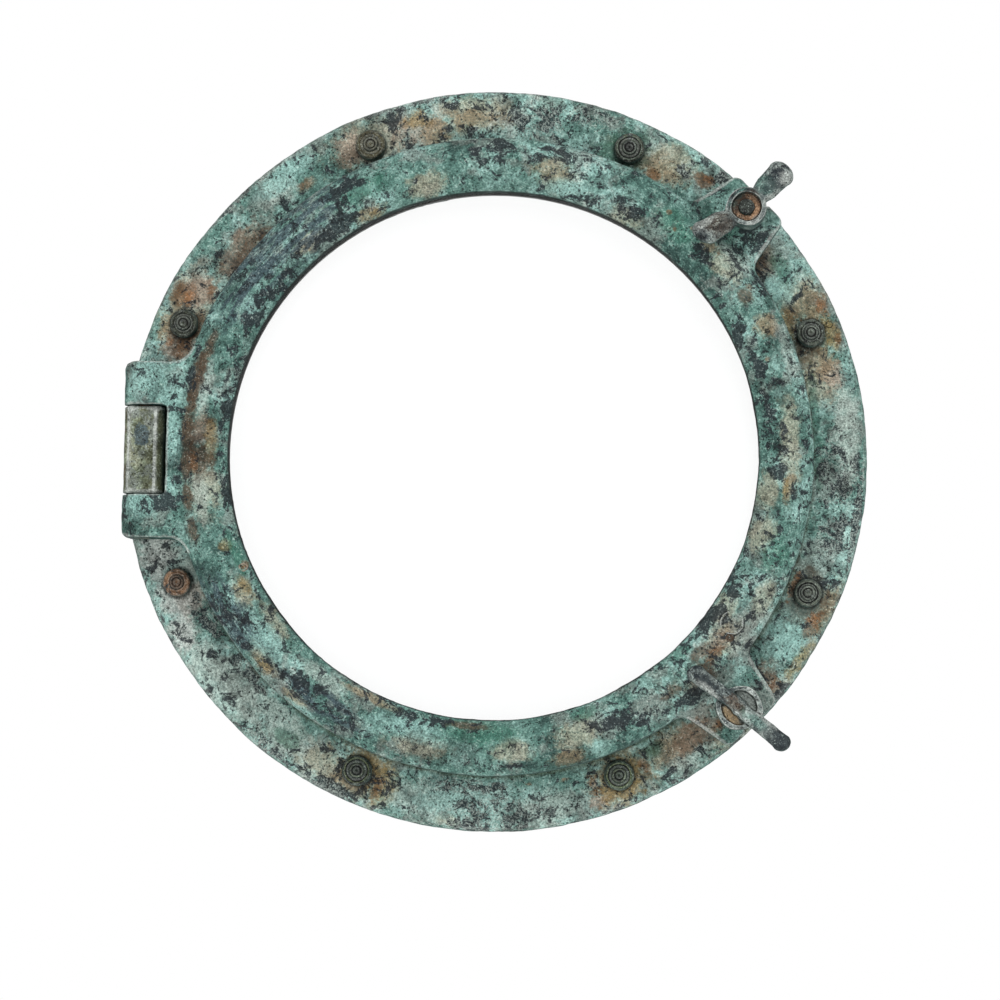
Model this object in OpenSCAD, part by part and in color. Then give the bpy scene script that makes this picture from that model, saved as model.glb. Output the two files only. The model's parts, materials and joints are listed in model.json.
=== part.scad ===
// Round opening window of cast bronze: a wall frame with a tube, a hinged glass frame and two
// swing-bolt dogs.
// The window stands upright, with X to the right and Z up, and it faces -Y. The wall plane is Y = 0.
// Each piece is drawn lying on its back, with heights measured out of the wall, and then stood up by stand().
// All sizes are in millimetres.

/* [Wall frame] */
// Outer diameter of the flange that lies against the wall
flange_d = 381; // [330:1:480]
// Thickness of the flange
flange_t = 10; // [8:0.5:14]
// Radius of the rounded front edge of the flange
flange_edge_r = 3.6; // [1:0.2:6]
// Width of flange that shows outside the glass frame
flange_band = 28; // [26:0.5:36]
// Wall thickness of the tube that passes through the wall
tube_wall = 7; // [4:0.5:8]
// Depth of the tube behind the flange
tube_depth = 38; // [15:1:120]
// Step from the clear opening out to the inside of the tube
tube_step = 9; // [6:0.5:10]

/* [Glass frame] */
// Radial width of the glass frame's ring
ring_w = 28; // [27:0.5:34]
// Thickness of the ring at its crest
ring_t = 25.5; // [22:0.5:34]
// Gap between the closed ring and the flange
ring_gap = 1.5; // [0.5:0.1:3]
// Radius of the ring's rounded front
bead_r = 17; // [15:0.5:30]
// Distance from the clear opening to the crest of the rounded front
bead_in = 13; // [10:0.5:14]
// Width of the bevel along the ring's outer edge
bevel_w = 6.5; // [2:0.5:8]
// Height of the same bevel
bevel_drop = 5; // [2:0.5:8]

/* [Glass and seals] */
// Thickness of the glass
glass_t = 7; // [5:0.5:10]
// Width of the glass edge held behind the lip
glass_hold = 5; // [3:0.5:6]
// Thickness of the rubber round the glass
gasket_t = 1.5; // [1:0.1:2]
// Thickness of the ring that holds the glass in
retainer_t = 3; // [2:0.5:5]
// Overlap of that ring past the glass recess
retainer_land = 6.5; // [6:0.5:8]
// Width of the main seal's groove
seal_w = 6; // [4:0.5:7]
// Depth of the main seal's groove
seal_depth = 6.5; // [4:0.5:8]
// Wall left outside the seal's groove
seal_margin = 4.5; // [3:0.5:8]
// Width of the raised rim that the seal closes on
rim_w = 3; // [2:0.5:4]
// Height of that rim above the flange
rim_h = 2.7; // [2:0.1:3.5]
// Gap between the seal and the rim in the drawn position
seal_gap = 0.3; // [0.2:0.1:1]
// Number of screws in the retaining ring
screw_count = 8; // [4:1:12]
// Thread diameter of those screws
screw_d = 3; // [2.5:0.5:4]
// Head diameter of those screws
screw_head_d = 5.6; // [5:0.1:8]
// Length of those screws
screw_len = 9; // [6:0.5:14]

/* [Hinge] */
// Distance from the flange's edge in to the hinge axis
hinge_inset = 12; // [11:0.5:14]
// Radius of the glass frame's two knuckles
knuckle_r = 10.6; // [9:0.1:12]
// Clearance between the knuckles and the flange
knuckle_lift = 0.8; // [0.5:0.1:3]
// Height of the whole hinge
hinge_h = 89.6; // [60:0.2:120]
// Height of the wall frame's centre knuckle
centre_h = 45; // [30:0.5:60]
// Gap at each end of the centre knuckle
knuckle_gap = 0.4; // [0.2:0.1:1]
// Radius taken off the centre knuckle against the outer ones
centre_under = 0.2; // [0:0.1:1]
// Height of the flat on the front of the centre knuckle, from the axis
centre_flat = 8; // [6:0.5:9]
// Clearance between the centre knuckle and the arm's cut-out
cutout_gap = 1.8; // [1:0.1:4]
// Diameter of the hinge pin
hinge_pin_d = 8; // [6:0.5:10]
// Radius of the curve from the arm into the ring
arm_fillet = 12; // [4:1:20]
// Radius of the arm's outer corners
arm_corner = 4; // [1:0.5:8]

/* [Dogs] */
// Angle of the upper dog above the horizontal
upper_angle = 45; // [40:1:50]
// Angle of the lower dog below the horizontal
lower_angle = 45; // [40:1:50]
// Distance from the flange's edge in to the dog's pivot
dog_inset = 12; // [9:0.5:14]
// Height of the pivot above the flange
pivot_lift = 2.5; // [2:0.5:5]
// Diameter of the swing bolt's thread
bolt_d = 8; // [6:0.5:10]
// Radius of the swing bolt's eye
eye_r = 7; // [6:0.5:9]
// How much thicker the eye is than the bolt
eye_over = 1; // [0.5:0.5:3]
// Gap on each side of the eye
eye_gap = 0.3; // [0.2:0.1:1]
// Thickness of each lug beside the eye
lug_t = 5.5; // [4:0.5:7]
// How much larger the radius of each lug is than that of the eye
lug_over = 0.5; // [0:0.5:2]
// Diameter of the pivot pin
pivot_pin_d = 6; // [4:0.5:7]
// Clearance of the swing bolt in each ear's slot, on the width
slot_play = 2; // [1:0.5:4]
// Half width of an ear at its outer end
ear_half = 17; // [15:0.5:20]
// Angle that each side of an ear spreads towards the ring
ear_taper = 11.5; // [4:0.5:16]
// How far an ear reaches past the flange's edge, below 0 where it stops short of it
ear_reach = -1; // [-2:0.5:4]
// Thickness of an ear
ear_t = 8; // [6:0.5:10]
// Gap between an ear and the lugs below it
ear_gap = 0.8; // [0.5:0.1:3]
// Radius of an ear's outer corners
ear_corner = 5; // [2:0.5:8]
// Radius of the curve from an ear into the ring
ear_fillet = 7; // [3:0.5:14]
// Width of the washer under each wing nut, outside the bolt
washer_rim = 5; // [4:0.5:6]
// Thickness of that washer
washer_t = 2; // [1:0.25:3]

/* [Wing nuts] */
// Wall of the upper nut's round body outside the bolt
upper_hub_wall = 6; // [5:0.5:8]
// Height of the upper nut's body above the middle of its wings' roots
upper_hub_over = 4; // [3:0.5:7]
// Distance from the bolt to each tip of the upper nut
upper_reach = 29.5; // [26:0.5:34]
// Wall of the lower nut's round body outside the bolt
lower_hub_wall = 7.3; // [6:0.1:8]
// Height of the lower nut's body above the middle of its wings' roots
lower_hub_over = 1; // [0:0.5:4]
// Distance from the bolt to each tip of the lower nut
lower_reach = 31.5; // [28:0.5:36]
// Wall round the recess in each nut's face
recess_wall = 2.4; // [1.5:0.1:3]
// Depth of that recess
recess_depth = 2.5; // [1:0.5:4]
// Diameter of the ball at the end of each of the upper nut's wings
upper_tip_d = 10.8; // [9:0.2:12]
// Diameter of the ball at the end of each of the lower nut's wings
lower_tip_d = 8.8; // [8:0.2:10]
// How much thinner a wing is where it meets that ball
wing_neck_under = 0.4; // [0.2:0.2:1]
// How much thinner a wing is at the body
wing_root_under = 1.4; // [0.6:0.2:2]
// Rise of a wing from its root to its tip
wing_rise = 2.5; // [0:0.5:5]
// How much wider the ball that joins the lower nut's wings is than their roots
lower_ball_over = 0.8; // [0.4:0.2:2]
// Clearance between a wing's tip and the crest of the ring
wing_gap = 2.5; // [1:0.5:6]

/* [Wall studs] */
// Number of studs and nuts
stud_count = 8; // [6:2:16]
// Diameter of the studs
stud_d = 8; // [6:0.5:10]
// Distance from the ring's outer edge to the circle of studs
stud_out = 11.5; // [11:0.5:15]
// Length of the studs behind the flange
stud_back = 42; // [20:1:120]
// Length of the studs that shows above the nuts
stud_show = 1.2; // [0.5:0.1:3]
// How much narrower a stud's plain shank in the flange is than its two threads
stud_waist = 0.8; // [0.4:0.1:1.5]
// Clearance between a stud and its hole, on the diameter
stud_play = 1; // [0.4:0.1:2]
// Width of the nuts across their flats
nut_af = 13; // [11:0.5:16]
// Height of the nuts
nut_h = 6.5; // [5:0.5:9]

/* [Hidden] */
// Clearance of a running pin or thread, on the radius
run_fit = 0.06;
// Clearance between flat faces that slide on each other
face_fit = 0.05;
// Clearance of a washer on its bolt, on the radius
washer_fit = 0.3;
// Amount by which joined shapes sink into each other
sink = 1;
// Amount by which a cut runs past a face
past = 2;
// Slope of the chamfer on a nut, and how far its round face stays inside the flats
nut_chamfer = 30;
nut_face_in = 1;
// Width of the slot in each screw of the retaining ring
screw_slot = 0.8;
// Fineness of curves: whole rings, ordinary cylinders and balls
$fn = 64;
ring_fn = 240;

// Radii from the window's centre
flange_r = flange_d / 2;
ring_r = flange_r - flange_band;
sight_r = ring_r - ring_w;
crest_r = sight_r + bead_in;
crease_r = ring_r - bevel_w;
glass_r = sight_r + glass_hold;
recess_r = glass_r + gasket_t;
retainer_r = recess_r + retainer_land;
screw_ring_r = (recess_r + retainer_r) / 2;
seal_out_r = ring_r - seal_margin;
seal_in_r = seal_out_r - seal_w;
rim_in_r = (seal_in_r + seal_out_r - rim_w) / 2;
tube_in_r = sight_r + tube_step;
stud_ring_r = ring_r + stud_out;
pivot_r = flange_r - dog_inset;
hinge_r = flange_r - hinge_inset;
ear_end_r = flange_r + ear_reach;

// Heights out of the wall
ring_back = flange_t + ring_gap;
crest_z = ring_back + ring_t;
bead_z = crest_z - bead_r;
lip_z = bead_z + sqrt(bead_r * bead_r - bead_in * bead_in);
crease_z = bead_z + sqrt(bead_r * bead_r - (crease_r - crest_r) * (crease_r - crest_r));
retainer_z = ring_back + retainer_t;
glass_z = retainer_z + glass_t;
shoulder_z = glass_z + gasket_t;
seal_top_z = ring_back + seal_depth;
rim_z = flange_t + rim_h;
hinge_z = flange_t + knuckle_lift + knuckle_r;
arm_front = hinge_z + knuckle_r;
pivot_z = flange_t + pivot_lift;
lug_r = eye_r + lug_over;
ear_back = pivot_z + lug_r + ear_gap;
ear_front = ear_back + ear_t;
washer_z = ear_front + face_fit;
nut_z = washer_z + washer_t + face_fit;
seat_r = ear_front - pivot_z;
wing_base_z = crest_z + wing_gap;
upper_root_z = wing_base_z + upper_tip_d / 2 - wing_rise;
lower_root_z = wing_base_z + lower_tip_d / 2 - wing_rise;
upper_top = upper_root_z + upper_hub_over;
lower_top = lower_root_z + lower_hub_over;
upper_bolt_tip = upper_top - recess_depth / 2;
lower_bolt_tip = lower_top - recess_depth - 2 * sink;
nut_top = flange_t + nut_h;

// Widths and angles
eye_t = bolt_d + eye_over;
slot_w = bolt_d + slot_play;
washer_d = bolt_d + 2 * washer_rim;
upper_hub_r = bolt_d / 2 + upper_hub_wall;
lower_hub_r = bolt_d / 2 + lower_hub_wall;
lug_out = eye_t / 2 + eye_gap + lug_t;
lug_in = eye_t / 2 + eye_gap;
centre_r = knuckle_r - centre_under;
cutout_r = hinge_r - centre_r - cutout_gap;
cutout_h = centre_h + 2 * knuckle_gap;
side_p = ear_half * cos(ear_taper) + ear_end_r * sin(ear_taper);
dog_angles = [upper_angle, -lower_angle];
stud_step = 360 / stud_count;
screw_step = 360 / screw_count;

// Stands a piece up: heights out of the wall turn to -Y
module stand() {
    rotate([90, 0, 0]) children();
}

// Places what it holds at a dog, with X pointing outward and Z out of the wall
module at_dog(angle) {
    stand() rotate(angle) translate([pivot_r, 0, 0]) children();
}

// Places what it holds at an angle round a circle of radius r, at the height z
module at_ring(r, angle, z) {
    rotate(angle) translate([r, 0, z]) children();
}

// A bar along Y, centred there, at radius x and height z
module bar_y(x, z, r, length) {
    translate([x, 0, z]) rotate([90, 0, 0]) cylinder(r = r, h = length, center = true);
}

// Flat ring between two radii and two heights
module band(r_in, r_out, z0, z1) {
    rotate_extrude($fn = ring_fn) translate([r_in, z0]) square([r_out - r_in, z1 - z0]);
}

// Plan of the curve from a ring of radius r into a straight side that lies p to the left of the centre
module fillet_plan(r, p, f) {
    cx = sqrt((r + f) * (r + f) - (p + f) * (p + f));
    inner = (r - past) / (r + f);
    difference() {
        polygon([
            [cx, p - sink],
            [cx, p + f],
            [cx * inner, (p + f) * inner],
            [sqrt((r - past) * (r - past) - (p - sink) * (p - sink)), p - sink]
        ]);
        translate([cx, p + f]) circle(r = f);
    }
}

// Section of the wall frame: flange, tube and the rim that the seal closes on
module base_section() {
    edge = flange_r - flange_edge_r;
    translate([tube_in_r, 0]) square([edge - tube_in_r, flange_t]);
    translate([tube_in_r, 0]) square([flange_r - tube_in_r, flange_t - flange_edge_r]);
    translate([edge, flange_t - flange_edge_r]) circle(r = flange_edge_r);
    translate([tube_in_r, -tube_depth]) square([tube_wall, tube_depth + sink]);
    translate([rim_in_r, flange_t - sink]) square([rim_w, rim_h + sink]);
}

// Centre knuckle with its foot on the flange
module centre_knuckle() {
    intersection() {
        union() {
            bar_y(-hinge_r, hinge_z, centre_r, centre_h);
            translate([-hinge_r - centre_r + sink, -centre_h / 2, flange_t - sink])
                cube([2 * (centre_r - sink), centre_h, hinge_z - flange_t + sink]);
        }
        translate([-hinge_r - centre_r, -centre_h / 2, 0])
            cube([2 * centre_r, centre_h, hinge_z + centre_flat]);
    }
}

// Pair of lugs that carries a swing bolt
module dog_lugs() {
    for (side = [-1, 1]) translate([0, side * (lug_in + lug_t / 2), 0]) {
        bar_y(0, pivot_z, lug_r, lug_t);
        translate([-lug_r, -lug_t / 2, flange_t / 2]) cube([2 * lug_r, lug_t, pivot_z - flange_t / 2]);
    }
}

// Room in the flange for the eye and for the bolt when it lies outward
module dog_notch() {
    bar_y(0, pivot_z, eye_r + 2 * eye_gap, 2 * lug_in);
    translate([0, -lug_in, pivot_z - eye_r - 2 * eye_gap])
        cube([dog_inset + past, 2 * lug_in, eye_r + 2 * eye_gap]);
}

module base_frame() {
    color("darkseagreen") stand() difference() {
        union() {
            rotate_extrude($fn = ring_fn) base_section();
            centre_knuckle();
            for (angle = dog_angles) rotate(angle) translate([pivot_r, 0, 0]) dog_lugs();
        }
        for (i = [1 : stud_count]) at_ring(stud_ring_r, (i - 0.5) * stud_step, -past)
            cylinder(d = stud_d + stud_play, h = flange_t + 2 * past);
        for (angle = dog_angles) rotate(angle) translate([pivot_r, 0, 0]) {
            dog_notch();
            bar_y(0, pivot_z, pivot_pin_d / 2, 2 * lug_out + past);
        }
        bar_y(-hinge_r, hinge_z, hinge_pin_d / 2, centre_h + past);
    }
}

// Section of the glass frame's ring before its recesses are cut
module ring_section() {
    polygon([
        [sight_r, ring_back],
        [sight_r, lip_z],
        [crease_r, crease_z],
        [ring_r, crease_z - bevel_drop],
        [ring_r, ring_back]
    ]);
    intersection() {
        translate([crest_r, bead_z]) circle(r = bead_r, $fn = 128);
        polygon([
            [sight_r, lip_z],
            [sight_r, crest_z + sink],
            [crease_r, crest_z + sink],
            [crease_r, crease_z]
        ]);
    }
}

// Plan of the hinge arm, with its rounded corners and the curves into the ring
module arm_plan() {
    half = hinge_h / 2;
    end = hinge_r + knuckle_r;
    translate([crease_r, -half]) square([end - arm_corner - crease_r, hinge_h]);
    translate([crease_r, -half + arm_corner]) square([end - crease_r, hinge_h - 2 * arm_corner]);
    for (side = [-1, 1]) translate([end - arm_corner, side * (half - arm_corner)]) circle(r = arm_corner);
    fillet_plan(ring_r, half, arm_fillet);
    mirror([0, 1]) fillet_plan(ring_r, half, arm_fillet);
}

// Side view of the hinge arm: a barrel with a flat plate back to the ring
module arm_side() {
    translate([hinge_r, hinge_z]) circle(r = knuckle_r);
    translate([crease_r - bevel_w, ring_back]) square([hinge_r - crease_r, arm_front - ring_back]);
    translate([crease_r - bevel_w, hinge_z]) square([hinge_r - crease_r + bevel_w, knuckle_r]);
}

module hinge_arm() {
    length = hinge_h + 4 * arm_fillet;
    rotate(180) difference() {
        intersection() {
            translate([0, 0, ring_back - past]) linear_extrude(height = ring_t + past) arm_plan();
            rotate([90, 0, 0]) translate([0, 0, -length / 2]) linear_extrude(height = length) arm_side();
        }
        translate([cutout_r, -cutout_h / 2, 0]) cube([hinge_r, cutout_h, crest_z + past]);
    }
}

// Plan of an ear, drawn from the window's centre with its middle along X
module ear_plan() {
    cx = ear_end_r - ear_corner;
    cy = (side_p - ear_corner - cx * sin(ear_taper)) / cos(ear_taper);
    root_y = (side_p - crease_r * sin(ear_taper)) / cos(ear_taper);
    for (side = [0, 1]) mirror([0, side]) {
        polygon([
            [crease_r, 0],
            [crease_r, root_y],
            [cx + ear_corner * sin(ear_taper), cy + ear_corner * cos(ear_taper)],
            [cx, cy],
            [ear_end_r, cy],
            [ear_end_r, 0]
        ]);
        translate([cx, cy]) circle(r = ear_corner);
        rotate(-ear_taper) fillet_plan(ring_r, side_p, ear_fillet);
    }
}

// Ear that takes a swing bolt: its slot opens outward, and its front is round about the pivot beyond the bolt
module ear() {
    difference() {
        translate([0, 0, ear_back]) linear_extrude(height = ear_t) ear_plan();
        difference() {
            translate([pivot_r, -2 * ear_half, ear_back - past])
                cube([4 * ear_half, 4 * ear_half, ear_t + 2 * past]);
            bar_y(pivot_r, pivot_z, seat_r, 5 * ear_half);
        }
        translate([pivot_r, 0, ear_back - past]) cylinder(d = slot_w, h = ear_t + 2 * past);
        translate([pivot_r, -slot_w / 2, ear_back - past]) cube([4 * ear_half, slot_w, ear_t + 2 * past]);
    }
}

module glass_frame() {
    color("mediumaquamarine") stand() difference() {
        union() {
            rotate_extrude($fn = ring_fn) ring_section();
            hinge_arm();
            for (angle = dog_angles) rotate(angle) ear();
        }
        band(sight_r - past, recess_r, ring_back - past, shoulder_z);
        band(sight_r - past, retainer_r + face_fit, ring_back - past, retainer_z);
        band(seal_in_r, seal_out_r, ring_back - past, seal_top_z);
        bar_y(-hinge_r, hinge_z, hinge_pin_d / 2 + run_fit, hinge_h + past);
        for (i = [1 : screw_count]) at_ring(screw_ring_r, (i - 0.5) * screw_step, ring_back)
            cylinder(d = screw_d, h = screw_len + sink);
    }
}

module main_seal() {
    color("dimgray") stand() band(seal_in_r, seal_out_r, rim_z + seal_gap, seal_top_z);
}

module glass_gasket() {
    color("dimgray") stand() {
        band(sight_r + sink, recess_r, glass_z, shoulder_z);
        band(glass_r, recess_r, retainer_z, glass_z);
    }
}

module glass_pane() {
    color("lightcyan", 0.4) stand() translate([0, 0, retainer_z])
        cylinder(r = glass_r, h = glass_t, $fn = ring_fn);
}

module retaining_ring() {
    head_depth = (screw_head_d - screw_d) / 2;
    color("peru") stand() difference() {
        band(sight_r + sink, retainer_r, ring_back, retainer_z);
        for (i = [1 : screw_count]) at_ring(screw_ring_r, (i - 0.5) * screw_step, ring_back) {
            translate([0, 0, -past]) cylinder(d = screw_d, h = retainer_t + 2 * past);
            cylinder(d1 = screw_head_d, d2 = screw_d, h = head_depth);
        }
    }
}

module retainer_screw(i) {
    head_depth = (screw_head_d - screw_d) / 2;
    color("goldenrod") stand() at_ring(screw_ring_r, (i - 0.5) * screw_step, ring_back) difference() {
        union() {
            cylinder(d1 = screw_head_d, d2 = screw_d, h = head_depth);
            cylinder(d = screw_d, h = screw_len);
        }
        translate([-screw_head_d, -screw_slot / 2, -past])
            cube([2 * screw_head_d, screw_slot, past + head_depth / 2]);
    }
}

module hinge_pin() {
    color("darkkhaki") stand() bar_y(-hinge_r, hinge_z, hinge_pin_d / 2, hinge_h);
}

module pivot_pin(angle) {
    color("darkkhaki") at_dog(angle) bar_y(0, pivot_z, pivot_pin_d / 2, 2 * lug_out);
}

// Eye bolt that swings on its pivot pin, up to the height tip
module swing_bolt(angle, tip) {
    color("darkkhaki") at_dog(angle) difference() {
        union() {
            bar_y(0, pivot_z, eye_r, eye_t);
            translate([0, 0, pivot_z]) cylinder(d = bolt_d, h = tip - pivot_z);
        }
        bar_y(0, pivot_z, pivot_pin_d / 2 + run_fit, eye_t + past);
    }
}

module dog_washer(angle) {
    color("darkkhaki") at_dog(angle) translate([0, 0, washer_z]) difference() {
        cylinder(d = washer_d, h = washer_t);
        translate([0, 0, -past]) cylinder(r = bolt_d / 2 + washer_fit, h = washer_t + 2 * past);
    }
}

// Two wings that rise outward from the nut's body and end in round tips
module wings(reach, root_x, tip_d) {
    run = reach - tip_d / 2 - root_x;
    tip_z = wing_base_z + tip_d / 2;
    slope = atan2(wing_rise, run);
    for (side = [0, 1]) mirror([side, 0, 0]) {
        translate([root_x, 0, tip_z - wing_rise]) rotate([0, 90 - slope, 0])
            cylinder(d1 = tip_d - wing_root_under, d2 = tip_d - wing_neck_under, h = norm([run, wing_rise]));
        translate([reach - tip_d / 2, 0, tip_z]) sphere(d = tip_d);
    }
}

module upper_wing_nut() {
    recess_r = upper_hub_r - recess_wall;
    color("slategray") at_dog(upper_angle) difference() {
        union() {
            translate([0, 0, nut_z]) cylinder(r = upper_hub_r, h = upper_top - nut_z);
            wings(upper_reach, recess_r, upper_tip_d);
        }
        translate([0, 0, nut_z - past]) cylinder(r = bolt_d / 2 + run_fit, h = upper_top - nut_z + 2 * past);
        translate([0, 0, upper_top - recess_depth])
            cylinder(r = recess_r, h = recess_depth + upper_tip_d);
    }
}

module lower_wing_nut() {
    floor_z = lower_top - recess_depth;
    bore_h = lower_bolt_tip + sink - nut_z;
    color("slategray") at_dog(-lower_angle) difference() {
        union() {
            difference() {
                translate([0, 0, nut_z]) cylinder(r = lower_hub_r, h = lower_top - nut_z);
                translate([0, 0, floor_z]) cylinder(r = lower_hub_r - recess_wall, h = recess_depth + past);
            }
            wings(lower_reach, face_fit, lower_tip_d);
            translate([0, 0, lower_root_z]) sphere(d = lower_tip_d - wing_root_under + lower_ball_over);
        }
        translate([0, 0, nut_z - past]) cylinder(r = bolt_d / 2 + run_fit, h = bore_h + past);
    }
}

// Stud with a thread behind the wall plane, a narrower shank in the flange and a thread for the nut
module wall_stud(i) {
    color("olivedrab") stand() at_ring(stud_ring_r, (i - 0.5) * stud_step, -stud_back) {
        cylinder(d = stud_d, h = stud_back);
        translate([0, 0, stud_back - sink]) cylinder(d = stud_d - stud_waist, h = flange_t + 2 * sink);
        translate([0, 0, stud_back + flange_t]) cylinder(d = stud_d, h = nut_h + stud_show);
    }
}

// Hexagon nut with its front corners turned off
module wall_nut(i) {
    corner_r = nut_af / 2 / cos(30);
    full_h = nut_h - (corner_r - nut_af / 2 + nut_face_in) * tan(nut_chamfer);
    color("olivedrab") stand() at_ring(stud_ring_r, (i - 0.5) * stud_step, flange_t) difference() {
        intersection() {
            cylinder(r = corner_r, h = nut_h, $fn = 6);
            union() {
                cylinder(r = corner_r, h = full_h);
                translate([0, 0, full_h]) cylinder(r1 = corner_r, r2 = 0, h = corner_r * tan(nut_chamfer));
            }
        }
        translate([0, 0, -past]) cylinder(r = stud_d / 2 + run_fit, h = nut_h + 2 * past);
    }
}

base_frame();
glass_frame();
main_seal();
glass_gasket();
glass_pane();
retaining_ring();
hinge_pin();
pivot_pin(upper_angle);  // upper_pivot_pin
swing_bolt(upper_angle, upper_bolt_tip);  // upper_swing_bolt
dog_washer(upper_angle);  // upper_washer
upper_wing_nut();
pivot_pin(-lower_angle);  // lower_pivot_pin
swing_bolt(-lower_angle, lower_bolt_tip);  // lower_swing_bolt
dog_washer(-lower_angle);  // lower_washer
lower_wing_nut();
for (i = [1 : stud_count]) wall_stud(i);
for (i = [1 : stud_count]) wall_nut(i);
for (i = [1 : screw_count]) retainer_screw(i);
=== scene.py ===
"""The looks of a round cast bronze window that has stood outdoors for years.

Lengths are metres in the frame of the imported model, unless a comment says millimetres.
The window faces -Y and Z is up. Places on its face are given as an angle in degrees,
counted from +X towards +Z, and a radius in millimetres.
"""
import json
import math

import bmesh
import bpy
import numpy as np
from mathutils import Matrix, Vector, noise

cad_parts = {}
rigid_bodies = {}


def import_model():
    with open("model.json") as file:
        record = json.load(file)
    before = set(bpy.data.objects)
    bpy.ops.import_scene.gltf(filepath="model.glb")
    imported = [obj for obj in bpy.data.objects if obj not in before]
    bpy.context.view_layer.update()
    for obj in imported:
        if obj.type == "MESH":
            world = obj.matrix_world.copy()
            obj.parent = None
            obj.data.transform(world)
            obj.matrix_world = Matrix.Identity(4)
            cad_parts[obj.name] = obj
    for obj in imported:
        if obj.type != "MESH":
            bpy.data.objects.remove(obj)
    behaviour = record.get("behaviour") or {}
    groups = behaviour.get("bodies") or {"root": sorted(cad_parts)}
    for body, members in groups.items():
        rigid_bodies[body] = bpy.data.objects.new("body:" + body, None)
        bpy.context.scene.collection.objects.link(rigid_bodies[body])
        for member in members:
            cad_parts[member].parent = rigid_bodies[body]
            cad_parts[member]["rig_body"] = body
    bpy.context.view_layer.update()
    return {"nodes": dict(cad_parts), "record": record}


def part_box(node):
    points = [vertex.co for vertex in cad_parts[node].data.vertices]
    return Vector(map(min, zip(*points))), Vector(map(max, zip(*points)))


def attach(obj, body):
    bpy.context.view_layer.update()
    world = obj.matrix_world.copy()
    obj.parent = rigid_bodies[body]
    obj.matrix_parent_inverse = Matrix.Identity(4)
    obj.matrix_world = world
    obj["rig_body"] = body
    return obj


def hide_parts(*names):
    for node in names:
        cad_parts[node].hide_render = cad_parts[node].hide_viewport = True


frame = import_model()
nodes = frame["nodes"]

MM = 0.001

# ---------------------------------------------------------------- camera, light and stage

# Angles in degrees, the film's width in millimetres
CAMERA_AZIMUTH = 2.0
CAMERA_ELEVATION = -4.8
CAMERA_ROLL = 1.1
CAMERA_DISTANCE = 2.0
CAMERA_AIM = Vector((0.0030, 0.0, -0.0205))
FILM_WIDTH = 36.0
VIEW_WIDTH = 0.514


def add_camera():
    """Puts the camera a little below the window and a hair to its right, looking up at it."""
    azimuth = math.radians(CAMERA_AZIMUTH)
    elevation = math.radians(CAMERA_ELEVATION)
    back = Vector((math.sin(azimuth) * math.cos(elevation),
                   -math.cos(azimuth) * math.cos(elevation),
                   math.sin(elevation)))
    data = bpy.data.cameras.new("camera")
    data.sensor_width = FILM_WIDTH
    data.lens = FILM_WIDTH * CAMERA_DISTANCE / VIEW_WIDTH
    camera = bpy.data.objects.new("camera", data)
    bpy.context.scene.collection.objects.link(camera)
    turn = back.to_track_quat("Z", "Y").to_matrix().to_4x4()
    roll = Matrix.Rotation(math.radians(CAMERA_ROLL), 4, "Z")
    camera.matrix_world = Matrix.Translation(CAMERA_AIM + back * CAMERA_DISTANCE) @ turn @ roll
    bpy.context.scene.camera = camera


# Each lamp's place, the width of its disk and its power in watts
LAMPS = {
    "key": ((0.7, -2.2, 2.4), 1.6, 64),
    "fill": ((-1.6, -2.4, 0.2), 1.6, 14),
    "low": ((0.3, -2.5, -0.5), 0.9, 6),
}
WORLD_GLOW = 0.52
BACKDROP_GLOW = 1.0
FLOOR_LEVEL = -1.3
FLOOR_REACH = 12.0
FLOOR_PAINT = (0.82, 0.82, 0.81, 1)
FLOOR_GLOW = 0.53


def add_lamp(name, place, size, power):
    """A round soft lamp that shines at the middle of the window."""
    data = bpy.data.lights.new(name, "AREA")
    data.shape = "DISK"
    data.size = size
    data.energy = power
    lamp = bpy.data.objects.new(name, data)
    bpy.context.scene.collection.objects.link(lamp)
    turn = Vector(place).to_track_quat("Z", "Y").to_matrix().to_4x4()
    lamp.matrix_world = Matrix.Translation(place) @ turn


def add_world():
    """A white studio: the camera sees plain white, and the light that it sends is softer."""
    world = bpy.data.worlds.new("studio")
    bpy.context.scene.world = world
    world.use_nodes = True
    tree = world.node_tree
    shade = tree.nodes["Background"]
    shade.inputs["Color"].default_value = (1, 1, 1, 1)
    path = tree.nodes.new("ShaderNodeLightPath")
    strength = tree.nodes.new("ShaderNodeMapRange")
    strength.inputs["To Min"].default_value = WORLD_GLOW
    strength.inputs["To Max"].default_value = BACKDROP_GLOW
    tree.links.new(path.outputs["Is Camera Ray"], strength.inputs["Value"])
    tree.links.new(strength.outputs["Result"], shade.inputs["Strength"])


def add_floor():
    """A wide pale floor that glows a little, so that its far edge fades into the backdrop."""
    mesh = bpy.data.meshes.new("floor")
    signs = [(-1, -1), (1, -1), (1, 1), (-1, 1)]
    corners = [(x * FLOOR_REACH, y * FLOOR_REACH, FLOOR_LEVEL) for x, y in signs]
    mesh.from_pydata(corners, [], [(0, 1, 2, 3)])
    floor = bpy.data.objects.new("floor", mesh)
    bpy.context.scene.collection.objects.link(floor)
    paint = Graph("floor_paint")
    paint.finish(FLOOR_PAINT, 0.9, Emission_Color=(1, 1, 1, 1), Emission_Strength=FLOOR_GLOW)
    mesh.materials.append(paint.material)


# ---------------------------------------------------------------- material nodes


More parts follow.
